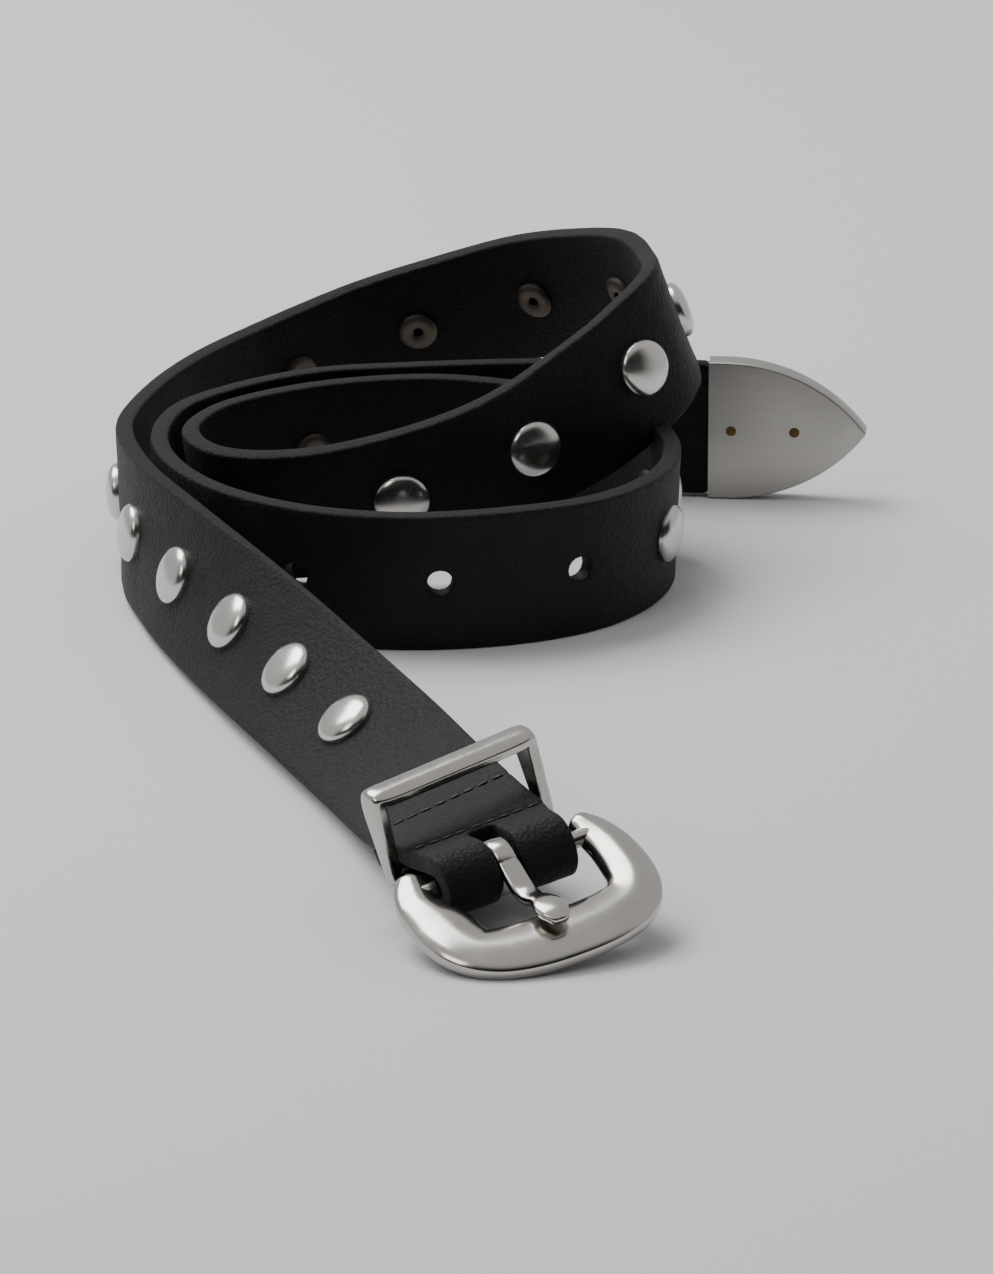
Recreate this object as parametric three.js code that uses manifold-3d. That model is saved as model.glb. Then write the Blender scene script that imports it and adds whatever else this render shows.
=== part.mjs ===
import * as THREE from "three";
import { mergeVertices } from "three/addons/utils/BufferGeometryUtils.js";
import Module from "manifold-3d";

const wasm = await Module();
wasm.setup();

// Strap, in millimetres
const STRAP_WIDTH = 30;
const STRAP_THICKNESS = 3.9;
const COIL_SPAN_X = 117;
const COIL_SPAN_Y = 149;
const STRAP_STEP = 5.2;
const PIECE_GAP = 0.32;
const LOOP_GAP = 0.55;

// Studs and prong holes
const STUD_COUNT = 23;
const STUD_PITCH = 30.5;
const STUD_DIAMETER = 12.4;
const STUD_HEIGHT = 2.8;
const STUD_RIM = 0.5;
const STUD_GAP = 0.45;
const STUD_SIDES = 10;
const FIRST_STUD = 88;
const POST_DIAMETER = 3.4;
const BACK_DIAMETER = 8.8;
const BACK_HEIGHT = 1.1;
const BACK_BORE = 2.2;
const BACK_BORE_DEPTH = 2.2;
const PRONG_HOLES = 5;
const PRONG_HOLE_DIAMETER = 5.4;

// Buckle frame, in its own plane: across along the bar, ahead towards the front
const BAR_DIAMETER = 3.5;
const FRAME_HALF_WIDTH = 25.2;
const FRAME_SHIFT = 1.2;
const FRAME_REACH = 30.6;
const FRAME_HEEL = 6.5;
const FRAME_THICKNESS = 4.6;
const FRAME_DROP = 26.08;
const FRAME_YAW = 7;
const FRAME_SLOPE = 20;
const YAW_LENGTH = 24;

// Fold round the bar, keeper and prong
const FOLD_LENGTH = 37;
const SLOT_WIDTH = 6.2;
const SLOT_REACH = 7;
const KEEPER_SEAT = 17;
const KEEPER_LEAN = 5;
const KEEPER_YAW = 11;
const KEEPER_INNER_WIDTH = 33.2;
const KEEPER_SHIFT = 0.4;
const KEEPER_INNER_HEIGHT = 13.5;
const KEEPER_TOP_SLOPE = 20;
const KEEPER_BAR = 2.2;
const KEEPER_TOP_WIDTH = 6;
const KEEPER_TOP_THICKNESS = 2.6;
const KEEPER_LEG = 2.6;
const KEEPER_LEG_DEPTH = 2.6;
const PRONG_WIDTH = 4.6;
const PRONG_THICKNESS = 2.7;

// Tip
const TIP_LENGTH = 35;
const TIP_WIDTH = 31.4;
const TIP_THICKNESS = 5.6;
const TIP_STRAIGHT = 4;
const TIP_WALL = 1.2;
const TIP_SLOT_DEPTH = 23;
const TIP_PIN_DIAMETER = 2.2;
const TIP_PINS = [5, 19];

const UP = new THREE.Vector3(0, 0, 1);
const BAR_RADIUS = BAR_DIAMETER / 2;
const FOLD_RADIUS = BAR_RADIUS + LOOP_GAP + STRAP_THICKNESS / 2;
const radians = THREE.MathUtils.degToRad;
const FRAME_FALL = FRAME_REACH * Math.sin(radians(FRAME_SLOPE));
const BAR_HEIGHT = FRAME_FALL + FRAME_THICKNESS / 2;
const TIP_OVERHANG = (TIP_WIDTH - STRAP_WIDTH) / 2;

const LEATHER = new THREE.MeshStandardMaterial({ color: 0x151517, roughness: 0.55, metalness: 0 });
const NICKEL = new THREE.MeshStandardMaterial({ color: 0xb9b6b0, roughness: 0.32, metalness: 1 });

// The strap's middle line from the buckle to the tip. Across and along are shares of the coil's
// two spans, from its left turn and its front run. Lift is the lower edge's height as a share of
// the strap's width, and neck the same as a share of the bar's height. Lean tips the upper edge
// towards the inside of the coil, in degrees.
const ROUTE = [
  { across: 0.678, along: -1.105, neck: 0.94, lean: 80 },
  { across: 0.616, along: -0.971, neck: 0.66, lean: 75 },
  { across: 0.555, along: -0.818, lift: 0.115, lean: 64 },
  { across: 0.483, along: -0.651, lift: 0.045, lean: 57 },
  { across: 0.289, along: -0.294, lift: 0.017, lean: 39.5 },
  { across: 0.098, along: 0.056, lift: 0.02, lean: 16 },
  { across: 0.025, along: 0.234, lift: 0.02, lean: 5 },
  { across: 0, along: 0.415, lift: 0.01, lean: -3 },
  { across: 0.035, along: 0.598, lift: 0, lean: -1 },
  { across: 0.11, along: 0.77, lift: 0, lean: 3 },
  { across: 0.226, along: 0.916, lift: 0.03, lean: 7 },
  { across: 0.389, along: 0.996, lift: 0.19, lean: 11 },
  { across: 0.573, along: 1.001, lift: 0.42, lean: 14 },
  { across: 0.743, along: 0.958, lift: 0.67, lean: 18 },
  { across: 0.877, along: 0.863, lift: 0.87, lean: 21 },
  { across: 0.968, along: 0.739, lift: 1.03, lean: 23 },
  { across: 1.001, along: 0.606, lift: 1.06, lean: 21 },
  { across: 0.993, along: 0.484, lift: 1.07, lean: 17 },
  { across: 0.915, along: 0.409, lift: 0.85, lean: 12 },
  { across: 0.779, along: 0.347, lift: 0.54, lean: 5 },
  { across: 0.638, along: 0.293, lift: 0.33, lean: -2 },
  { across: 0.483, along: 0.27, lift: 0.17, lean: -8 },
  { across: 0.328, along: 0.274, lift: 0.06, lean: -12 },
  { across: 0.191, along: 0.314, lift: 0.01, lean: -12 },
  { across: 0.133, along: 0.394, lift: 0.01, lean: -8 },
  { across: 0.171, along: 0.487, lift: 0.03, lean: -4 },
  { across: 0.274, along: 0.565, lift: 0.04, lean: 0 },
  { across: 0.412, along: 0.624, lift: 0.03, lean: 1 },
  { across: 0.568, along: 0.648, lift: 0.02, lean: 1 },
  { across: 0.728, along: 0.625, lift: 0, lean: 1 },
  { across: 0.868, along: 0.558, lift: 0, lean: 0 },
  { across: 0.965, along: 0.454, lift: 0, lean: 0 },
  { across: 0.997, along: 0.327, lift: 0, lean: -2 },
  { across: 0.962, along: 0.197, lift: 0, lean: -5 },
  { across: 0.861, along: 0.089, lift: 0, lean: -5 },
  { across: 0.704, along: 0.023, lift: 0.01, lean: -4 },
  { across: 0.524, along: 0.003, lift: 0, lean: -3.5 },
  { across: 0.345, along: 0.033, lift: 0, lean: -2.5 },
  { across: 0.197, along: 0.115, lift: 0, lean: -1.5 },
  { across: 0.102, along: 0.232, lift: 0, lean: -1 },
  { across: 0.061, along: 0.37, lift: 0, lean: -0.5 },
  { across: 0.091, along: 0.505, lift: 0.01, lean: 0 },
  { across: 0.188, along: 0.611, lift: 0, lean: 0 },
  { across: 0.338, along: 0.685, lift: 0.01, lean: 0 },
  { across: 0.51, along: 0.72, lift: 0, lean: 0 },
  { across: 0.692, along: 0.73, lift: 0.01, lean: 0 },
  { across: 0.878, along: 0.727, lift: 0, tail: 1, lean: 0 },
  { across: 1.064, along: 0.715, lift: 0, tail: 1, lean: 0 },
  { across: 1.38, along: 0.694, lift: 0, tail: 1, lean: 0 },
];

// The frame's half outline from the heel of an arm to the middle of its front, as shares of the
// half width and of the reach, with the rim's width as a share of the half width.
const FRAME_ROWS = [
  { across: 0.745, ahead: -0.2, rim: 0.14 },
  { across: 0.805, ahead: -0.06, rim: 0.24 },
  { across: 0.845, ahead: 0.12, rim: 0.31 },
  { across: 0.838, ahead: 0.3, rim: 0.35 },
  { across: 0.79, ahead: 0.48, rim: 0.41 },
  { across: 0.68, ahead: 0.63, rim: 0.47 },
  { across: 0.5, ahead: 0.705, rim: 0.53 },
  { across: 0.26, ahead: 0.74, rim: 0.56 },
  { across: 0, ahead: 0.745, rim: 0.57 },
];

// The rim's section from its outer foot over the dome, as shares of half its width and thickness.
const RIM_SECTION = [
  [1, -0.55], [0.72, -1], [-0.72, -1], [-1, -0.5], [-1, 0.05], [-0.75, 0.6], [-0.3, 0.98], [0.25, 1], [0.72, 0.62],
  [1, 0.05],
];

// The prong's middle line, ahead of the bar and above the frame's plane, as shares of the frame's
// reach and thickness, with its width as a share of the shank's.
const PRONG_ROWS = [
  { ahead: 0, above: 0.755, width: 1 },
  { ahead: 0.09, above: 0.74, width: 1 },
  { ahead: 0.2, above: 0.52, width: 0.92 },
  { ahead: 0.32, above: 0.3, width: 0.84 },
  { ahead: 0.43, above: 0.4, width: 0.84 },
  { ahead: 0.52, above: 0.78, width: 0.95 },
  { ahead: 0.6, above: 0.98, width: 1.22 },
  { ahead: 0.7, above: 1.02, width: 1.05 },
  { ahead: 0.79, above: 0.95, width: 0.4 },
];

// The prong's section, chamfered above and below, as shares of half its width and thickness.
const PRONG_SECTION = [
  [-1, 0.45], [-0.5, 1], [0.5, 1], [1, 0.45], [1, -0.6], [0.6, -1], [-0.6, -1], [-1, -0.6],
];

function routePoint(row) {
  const half = (STRAP_WIDTH / 2) * Math.cos(radians(row.lean));
  const flat = (STRAP_THICKNESS / 2) * Math.abs(Math.sin(radians(row.lean)));
  const lowest = "neck" in row ? row.neck * BAR_HEIGHT : row.lift * STRAP_WIDTH;
  const tail = (row.tail ?? 0) * TIP_OVERHANG;
  return new THREE.Vector3(
    (row.across - 0.68) * COIL_SPAN_X,
    (row.along + 0.24) * COIL_SPAN_Y,
    lowest + tail + half + flat,
  );
}

const middleLine = new THREE.CatmullRomCurve3(ROUTE.map(routePoint), false, "centripetal");
middleLine.arcLengthDivisions = 4000;
const leanLine = new THREE.SplineCurve(ROUTE.map((row, i) => new THREE.Vector2(i, row.lean)));
const ROUTE_LENGTH = middleLine.getLength();
const STRAP_END = ROUTE_LENGTH - TIP_LENGTH + TIP_SLOT_DEPTH;
const TIP_START = ROUTE_LENGTH - TIP_LENGTH;

// Frame of the strap at a distance from the bar: along it, out of its grain side, and across it.
// The tip keeps its part of the strap straight.
function strapFrame(distance) {
  if (distance > TIP_START) {
    const last = strapFrame(TIP_START);
    last.place.addScaledVector(last.along, distance - TIP_START);
    return last;
  }
  const share = THREE.MathUtils.clamp(distance / ROUTE_LENGTH, 0, 1);
  const t = middleLine.getUtoTmapping(share);
  const along = middleLine.getTangent(t);
  const lean = radians(leanLine.getPoint(t).y);
  const level = new THREE.Vector3().crossVectors(UP, along).normalize();
  const rise = new THREE.Vector3().crossVectors(along, level);
  const out = level.clone().multiplyScalar(Math.cos(lean)).addScaledVector(rise, Math.sin(lean));
  const across = rise.multiplyScalar(Math.cos(lean)).addScaledVector(level, -Math.sin(lean));
  const turn = FRAME_YAW * (1 - THREE.MathUtils.smoothstep(distance, 0, YAW_LENGTH));
  across.applyAxisAngle(out, radians(turn));
  along.applyAxisAngle(out, radians(turn));
  return { place: middleLine.getPoint(t), along, out, across };
}

// A closed solid through rings of points, with flat ends.
function loft(rings) {
  const count = rings[0].length;
  const points = rings.flat();
  const faces = [];
  for (let i = 0; i + 1 < rings.length; i += 1) {
    for (let j = 0; j < count; j += 1) {
      const next = (j + 1) % count;
      const a = i * count + j;
      const b = i * count + next;
      faces.push(a, b, a + count, b, b + count, a + count);
    }
  }
  const last = (rings.length - 1) * count;
  for (let j = 1; j + 1 < count; j += 1) {
    faces.push(0, j + 1, j);
    faces.push(last, last + j, last + j + 1);
  }
  const geometry = new THREE.BufferGeometry().setFromPoints(points);
  geometry.setIndex(faces);
  return geometry;
}

function solid(geometry) {
  const bare = geometry.clone();
  bare.deleteAttribute("normal");
  bare.deleteAttribute("uv");
  const merged = mergeVertices(bare, 1e-4);
  const made = new wasm.Manifold(
    new wasm.Mesh({
      numProp: 3,
      vertProperties: merged.attributes.position.array,
      triVerts: new Uint32Array(merged.index.array),
    }),
  );
  return made;
}

function geometryOf(manifold) {
  const mesh = manifold.getMesh();
  const geometry = new THREE.BufferGeometry();
  geometry.setAttribute("position", new THREE.BufferAttribute(mesh.vertProperties, 3));
  geometry.setIndex(new THREE.BufferAttribute(mesh.triVerts, 1));
  return geometry;
}

// Matrix that takes x along the strap, y across it and z out of its grain side.
function placement(frame, origin = frame.place) {
  const basis = new THREE.Matrix4().makeBasis(frame.along, frame.across.clone().negate(), frame.out);
  return basis.setPosition(origin);
}

function smooth(value, from, to) {
  return THREE.MathUtils.smoothstep(value, from, to);
}

// Space between the strap and its folded end, at a distance from the bar.
function foldSpace(distance) {
  const atBar = 2 * (BAR_RADIUS + LOOP_GAP);
  const pastKeeper = KEEPER_SEAT + 1.5 * KEEPER_LEG_DEPTH;
  return THREE.MathUtils.lerp(atBar, PIECE_GAP, smooth(distance, pastKeeper, FOLD_LENGTH));
}

function strapSection(place, out, across, halfWidth = STRAP_WIDTH / 2) {
  const corner = (side, face) =>
    place.clone().addScaledVector(across, side * halfWidth).addScaledVector(out, (face * STRAP_THICKNESS) / 2);
  return [corner(-1, -1), corner(-1, 1), corner(1, 1), corner(1, -1)];
}

function tipHalfWidth(distance) {
  const bow = TIP_LENGTH - TIP_STRAIGHT;
  const half = TIP_WIDTH / 2;
  const radius = (bow * bow + half * half) / (2 * half);
  const past = Math.max(distance - TIP_STRAIGHT, 0);
  return Math.sqrt(Math.max(radius * radius - past * past, 0)) - radius + half;
}

function strapHalfWidth(distance) {
  const inTip = distance - TIP_START;
  if (inTip < -2 * PIECE_GAP) return STRAP_WIDTH / 2;
  return Math.min(STRAP_WIDTH / 2, tipHalfWidth(inTip) - TIP_WALL - PIECE_GAP);
}

function strapRings() {
  const rings = [];
  const start = strapFrame(0);
  for (let distance = FOLD_LENGTH; distance > 0; distance -= STRAP_STEP / 2) {
    const f = strapFrame(distance);
    const under = f.place.clone().addScaledVector(f.out, -STRAP_THICKNESS - foldSpace(distance));
    rings.push(strapSection(under, f.out.clone().negate(), f.across.clone()));
  }
  const centre = start.place.clone().addScaledVector(start.out, -FOLD_RADIUS);
  const turns = 8;
  for (let i = 0; i <= turns; i += 1) {
    const angle = Math.PI * (i / turns) - Math.PI / 2;
    const out = start.out.clone().multiplyScalar(Math.sin(angle)).addScaledVector(start.along, -Math.cos(angle));
    const place = centre.clone().addScaledVector(out, FOLD_RADIUS);
    rings.push(strapSection(place, out, start.across.clone()));
  }
  const inTip = [TIP_START - 3 * PIECE_GAP, TIP_START - PIECE_GAP];
  const stops = [];
  const runs = Math.ceil(inTip[0] / STRAP_STEP);
  for (let i = 1; i < runs; i += 1) stops.push((inTip[0] * i) / runs);
  stops.push(...inTip);
  const pocketSteps = 6;
  for (let i = 1; i <= pocketSteps; i += 1) {
    stops.push(THREE.MathUtils.lerp(inTip[1], STRAP_END - PIECE_GAP, i / pocketSteps));
  }
  for (const stop of stops) {
    const f = strapFrame(stop);
    rings.push(strapSection(f.place, f.out, f.across, strapHalfWidth(stop)));
  }
  return rings;
}

// A round cutter across the strap's thickness.
function strapCutter(distance, diameter, sides) {
  const frame = strapFrame(distance);
  const pin = new THREE.CylinderGeometry(diameter / 2, diameter / 2, 3 * STRAP_THICKNESS, sides);
  pin.rotateX(Math.PI / 2);
  pin.applyMatrix4(placement(frame));
  return solid(pin);
}

function studDistance(index) {
  return FIRST_STUD + index * STUD_PITCH;
}

// The slot takes the prong's loop: a box across both layers of the fold, from behind the bar.
function prongSlot() {
  const frame = strapFrame(0);
  const tall = 4 * FOLD_RADIUS;
  const ahead = 2 * FOLD_RADIUS;
  const box = new THREE.BoxGeometry(ahead + SLOT_REACH, SLOT_WIDTH, tall);
  box.translate((SLOT_REACH - ahead) / 2, 0, -FOLD_RADIUS);
  box.applyMatrix4(placement(frame));
  return solid(box);
}

function strapMesh() {
  let strap = solid(loft(strapRings()));
  for (let i = 0; i < STUD_COUNT; i += 1) {
    strap = strap.subtract(strapCutter(studDistance(i), POST_DIAMETER + 2 * STUD_GAP, STUD_SIDES));
  }
  for (let i = 0; i < PRONG_HOLES; i += 1) {
    strap = strap.subtract(strapCutter(studDistance(STUD_COUNT + i), PRONG_HOLE_DIAMETER, 16));
  }
  strap = strap.subtract(prongSlot());
  for (const pin of TIP_PINS) {
    strap = strap.subtract(strapCutter(TIP_START + pin, TIP_PIN_DIAMETER + 2 * PIECE_GAP, 10));
  }
  return named("strap", geometryOf(strap), LEATHER);
}

function named(name, geometry, material) {
  const mesh = new THREE.Mesh(geometry, material);
  mesh.name = name;
  return mesh;
}

// How far the bent and twisted strap comes out of its own plane within a radius, on the side that
// facing gives.
function bendRise(distance, radius, facing) {
  const { place, out } = strapFrame(distance);
  const reach = Math.hypot(radius, STRAP_STEP / 2);
  const corners = 8;
  let rise = 0;
  for (let i = 0; i < corners; i += 1) {
    const angle = (2 * Math.PI * i) / corners;
    const near = strapFrame(distance + reach * Math.cos(angle));
    near.place.addScaledVector(near.across, reach * Math.sin(angle));
    rise = Math.max(rise, facing * near.place.sub(place).dot(out));
  }
  return rise;
}

// Domed cap, post through the strap and the clinched ring behind, turned about the post.
function studMesh(index) {
  const distance = studDistance(index);
  const cap = STUD_DIAMETER / 2;
  const clear = STRAP_THICKNESS / 2 + STUD_GAP;
  const seat = clear + bendRise(distance, cap, 1);
  const back = clear + bendRise(distance, BACK_DIAMETER / 2 + BACK_HEIGHT, -1);
  const bore = BACK_BORE / 2;
  const ring = BACK_DIAMETER / 2;
  const profile = [
    [0, -back - BACK_HEIGHT + BACK_BORE_DEPTH],
    [bore, -back - BACK_HEIGHT + BACK_BORE_DEPTH],
    [bore, -back - BACK_HEIGHT],
    [ring * 0.72, -back - BACK_HEIGHT],
    [ring, -back - BACK_HEIGHT * 0.45],
    [ring, -back],
    [POST_DIAMETER / 2, -back],
    [POST_DIAMETER / 2, seat],
    [cap, seat],
    [cap, seat + STUD_RIM],
    [cap * 0.82, seat + STUD_HEIGHT * 0.55],
    [cap * 0.5, seat + STUD_HEIGHT * 0.87],
    [0, seat + STUD_HEIGHT],
  ].map(([r, z]) => new THREE.Vector2(r, z));
  const turned = new THREE.LatheGeometry(profile, STUD_SIDES);
  turned.rotateX(Math.PI / 2);
  const mesh = named(`stud_${String(index + 1).padStart(2, "0")}`, geometryOf(solid(turned)), NICKEL);
  mesh.applyMatrix4(placement(strapFrame(distance)));
  return mesh;
}

// The frame's rim as a closed solid: a domed section carried round the outline.
function frameRim() {
  const half = FRAME_ROWS.map((row) => ({
    x: row.across * FRAME_HALF_WIDTH,
    y: row.ahead < 0 ? (row.ahead / 0.2) * (FRAME_HEEL - 2) : row.ahead * FRAME_REACH,
    rim: row.rim * FRAME_HALF_WIDTH,
  }));
  const mirrored = half.slice(0, -1).map((p) => ({ ...p, x: -p.x })).reverse();
  const all = [...half, ...mirrored];
  const line = new THREE.CatmullRomCurve3(
    all.map((p) => new THREE.Vector3(p.x, p.y, 0)), false, "centripetal");
  const width = new THREE.SplineCurve(all.map((p, i) => new THREE.Vector2(i, p.rim)));
  const steps = 36;
  const rings = [];
  for (let i = 0; i <= steps; i += 1) {
    const t = i / steps;
    const place = line.getPoint(t);
    const along = line.getTangent(t);
    const side = new THREE.Vector3().crossVectors(along, UP).normalize();
    const w = width.getPoint(t).y / 2;
    const h = FRAME_THICKNESS / 2;
    const fat = THREE.MathUtils.clamp(w / 5, 0.6, 1);
    rings.push(RIM_SECTION.map(([x, z]) => place.clone().addScaledVector(side, x * w).setZ(z * h * fat)));
  }
  return rings;
}

function buckleFrameMesh() {
  const rings = frameRim();
  const rim = solid(loft(rings));
  const bar = new THREE.CylinderGeometry(BAR_RADIUS, BAR_RADIUS, FRAME_HALF_WIDTH * 1.56, 12);
  bar.rotateZ(Math.PI / 2);
  return named("buckle_frame", geometryOf(rim.add(solid(bar))), NICKEL);
}

// Loop round the bar, joined to the shank, which ends in a pointed head on the frame's front.
function prongMesh() {
  const inner = BAR_RADIUS + LOOP_GAP;
  const outer = inner + PRONG_THICKNESS;
  const loop = new THREE.LatheGeometry(
    [[inner, -0.5], [outer, -0.5], [outer, 0.5], [inner, 0.5], [inner, -0.5]].map(
      ([r, z]) => new THREE.Vector2(r, z * PRONG_WIDTH)),
    20);
  loop.rotateZ(Math.PI / 2);
  const line = new THREE.CatmullRomCurve3(
    PRONG_ROWS.map((row) => new THREE.Vector3(0, row.ahead * FRAME_REACH, row.above * FRAME_THICKNESS)),
    false, "centripetal");
  const width = new THREE.SplineCurve(PRONG_ROWS.map((row, i) => new THREE.Vector2(i, row.width)));
  const steps = 14;
  const rings = [];
  for (let i = 0; i <= steps; i += 1) {
    const t = i / steps;
    const place = line.getPoint(t);
    const along = line.getTangent(t);
    const side = new THREE.Vector3(1, 0, 0);
    const above = new THREE.Vector3().crossVectors(side, along);
    const w = (width.getPoint(t).y * PRONG_WIDTH) / 2;
    const h = (PRONG_THICKNESS / 2) * THREE.MathUtils.lerp(1, 0.8, t);
    rings.push(PRONG_SECTION.map(([x, z]) =>
      place.clone().addScaledVector(side, x * w).addScaledVector(above, z * h)));
  }
  const shank = solid(loft(rings));
  const hole = new THREE.CylinderGeometry(inner, inner, 2 * PRONG_WIDTH, 20);
  hole.rotateZ(Math.PI / 2);
  return named("prong", geometryOf(solid(loop).add(shank).subtract(solid(hole))), NICKEL);
}

// The keeper's loop in its own plane: a wide top bar, two slim legs and the bar under the strap.
function keeperMesh() {
  const inner = KEEPER_INNER_WIDTH / 2;
  const outer = inner + KEEPER_LEG;
  const foot = -KEEPER_BAR / 2;
  const roof = KEEPER_BAR / 2 + KEEPER_INNER_HEIGHT;
  const ridge = roof + KEEPER_TOP_THICKNESS;
  const chamfer = KEEPER_LEG * 0.6;
  const outline = new THREE.Shape([
    new THREE.Vector2(-outer + chamfer, foot),
    new THREE.Vector2(outer - chamfer, foot),
    new THREE.Vector2(outer, foot + chamfer),
    new THREE.Vector2(outer, ridge - chamfer),
    new THREE.Vector2(outer - chamfer, ridge),
    new THREE.Vector2(-outer + chamfer, ridge),
    new THREE.Vector2(-outer, ridge - chamfer),
    new THREE.Vector2(-outer, foot + chamfer),
  ]);
  outline.holes.push(new THREE.Path([
    new THREE.Vector2(-inner, foot + KEEPER_BAR),
    new THREE.Vector2(-inner, roof),
    new THREE.Vector2(inner, roof),
    new THREE.Vector2(inner, foot + KEEPER_BAR),
  ]));
  const loop = new THREE.ExtrudeGeometry(outline, { depth: KEEPER_LEG_DEPTH, bevelEnabled: false });
  loop.translate(0, 0, -KEEPER_LEG_DEPTH / 2);
  const top = new THREE.ExtrudeGeometry(
    new THREE.Shape([
      new THREE.Vector2(-KEEPER_TOP_WIDTH / 2, roof + KEEPER_TOP_THICKNESS * 0.3),
      new THREE.Vector2(-KEEPER_TOP_WIDTH / 2 + 0.8, roof),
      new THREE.Vector2(KEEPER_TOP_WIDTH / 2 - 0.8, roof),
      new THREE.Vector2(KEEPER_TOP_WIDTH / 2, roof + KEEPER_TOP_THICKNESS * 0.3),
      new THREE.Vector2(KEEPER_TOP_WIDTH / 2 - 0.7, ridge - 0.5),
      new THREE.Vector2(KEEPER_TOP_WIDTH / 5, ridge + 0.2),
      new THREE.Vector2(-KEEPER_TOP_WIDTH / 5, ridge + 0.2),
      new THREE.Vector2(-KEEPER_TOP_WIDTH / 2 + 0.7, ridge - 0.5),
    ]),
    { depth: 2 * outer - 0.6, bevelEnabled: false });
  top.translate(0, 0, -outer + 0.3);
  top.rotateY(Math.PI / 2);
  top.translate(0, -roof, 0);
  top.rotateX(radians(KEEPER_TOP_SLOPE));
  top.translate(0, roof, 0);
  const mesh = named("keeper", geometryOf(solid(loop).add(solid(top))), NICKEL);
  const frame = strapFrame(KEEPER_SEAT);
  const depth = (STRAP_THICKNESS + foldSpace(KEEPER_SEAT)) / 2;
  const seat = frame.place.clone().addScaledVector(frame.out, -depth);
  seat.addScaledVector(frame.across, KEEPER_SHIFT);
  const stand = new THREE.Matrix4().makeBasis(frame.across, frame.out, frame.along.clone().negate());
  stand.multiply(new THREE.Matrix4().makeRotationY(radians(KEEPER_YAW)));
  stand.multiply(new THREE.Matrix4().makeRotationX(-radians(KEEPER_LEAN)));
  mesh.applyMatrix4(stand.setPosition(seat));
  return mesh;
}

// The tip's pointed outline, thinned towards its border, with a pocket for the strap's end.
function tipMesh() {
  const outlineAt = (inset, from, reach, steps) => {
    const upper = [];
    for (let i = 0; i <= steps; i += 1) {
      const x = THREE.MathUtils.lerp(from, reach, i / steps);
      upper.push(new THREE.Vector2(x, Math.max(tipHalfWidth(x) - inset, 0)));
    }
    const lower = upper.slice(0, -1).reverse().map((p) => new THREE.Vector2(p.x, -p.y));
    return [...upper, ...lower].filter((p, i) => i === 0 || p.y !== 0 || p.x === reach);
  };
  const steps = 12;
  const body = new THREE.ExtrudeGeometry(new THREE.Shape(outlineAt(0, 0, TIP_LENGTH, steps).reverse()), {
    depth: TIP_THICKNESS, bevelEnabled: false });
  body.translate(0, 0, -TIP_THICKNESS / 2);
  const pocketRings = [];
  const room = STRAP_THICKNESS / 2 + PIECE_GAP;
  for (let i = 0; i <= 6; i += 1) {
    const x = THREE.MathUtils.lerp(-1, TIP_SLOT_DEPTH, i / 6);
    const w = Math.min(STRAP_WIDTH / 2 + PIECE_GAP, tipHalfWidth(Math.max(x, 0)) - TIP_WALL);
    pocketRings.push([[-w, -room], [w, -room], [w, room], [-w, room]].map(
      ([y, z]) => new THREE.Vector3(x, y, z)));
  }
  const pocket = solid(loft(pocketRings));
  let tip = solid(body).subtract(pocket);
  for (const pin of TIP_PINS) {
    const hole = new THREE.CylinderGeometry(
      TIP_PIN_DIAMETER / 2 + PIECE_GAP, TIP_PIN_DIAMETER / 2 + PIECE_GAP, 2 * TIP_THICKNESS, 10);
    hole.rotateX(Math.PI / 2);
    hole.translate(pin, 0, 0);
    tip = tip.subtract(solid(hole));
  }
  const mesh = named("belt_tip", geometryOf(tip), NICKEL);
  mesh.applyMatrix4(placement(strapFrame(TIP_START)));
  return mesh;
}

function tipPinMesh(index) {
  const pin = new THREE.CylinderGeometry(TIP_PIN_DIAMETER / 2, TIP_PIN_DIAMETER / 2, TIP_THICKNESS, 10);
  pin.rotateX(Math.PI / 2);
  const mesh = named(`tip_pin_${index + 1}`, pin, NICKEL);
  const frame = strapFrame(TIP_START);
  const place = frame.place.clone().addScaledVector(frame.along, TIP_PINS[index]);
  mesh.applyMatrix4(placement(frame, place));
  return mesh;
}

// The buckle hangs on the fold: its bar lies in the fold's centre and its front reaches the ground.
function buckleGroup() {
  const start = strapFrame(0);
  const group = new THREE.Group();
  const forward = start.along.clone().negate();
  const basis = new THREE.Matrix4().makeBasis(start.across.clone().negate(), forward, start.out);
  basis.multiply(new THREE.Matrix4().makeRotationX(-radians(FRAME_DROP)));
  const centre = start.place.clone().addScaledVector(start.out, -FOLD_RADIUS);
  centre.addScaledVector(start.across, FRAME_SHIFT);
  group.applyMatrix4(basis.setPosition(centre));
  const prong = prongMesh();
  prong.position.x = FRAME_SHIFT;
  group.add(buckleFrameMesh(), prong);
  return group;
}

const belt = new THREE.Group();
belt.add(strapMesh());
for (let i = 0; i < STUD_COUNT; i += 1) belt.add(studMesh(i));
belt.add(buckleGroup());
belt.add(keeperMesh());
belt.add(tipMesh());
TIP_PINS.forEach((_, index) => belt.add(tipPinMesh(index)));

// The belt stands on the ground, centred over the origin.
belt.updateMatrixWorld(true);
const extent = new THREE.Box3().setFromObject(belt, true);
const middle = extent.getCenter(new THREE.Vector3());
belt.position.set(-middle.x, -middle.y, -extent.min.z);

export default belt;
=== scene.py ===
# %% [markdown]
# # A studded belt in Blender
#
# The belt is one long leather strap that lies in a loose coil. Round metal studs run along its
# middle. One end is folded round a buckle's bar and the other sits in a pointed metal tip. The
# solids of all these pieces come in first and stay where they are. Each piece here is made in the
# same place, with the roundings and finishes that the plain solids leave out.

# %% Load the solids
import functools
import math

import bmesh
import bpy
from mathutils import Matrix, Vector, noise


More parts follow.
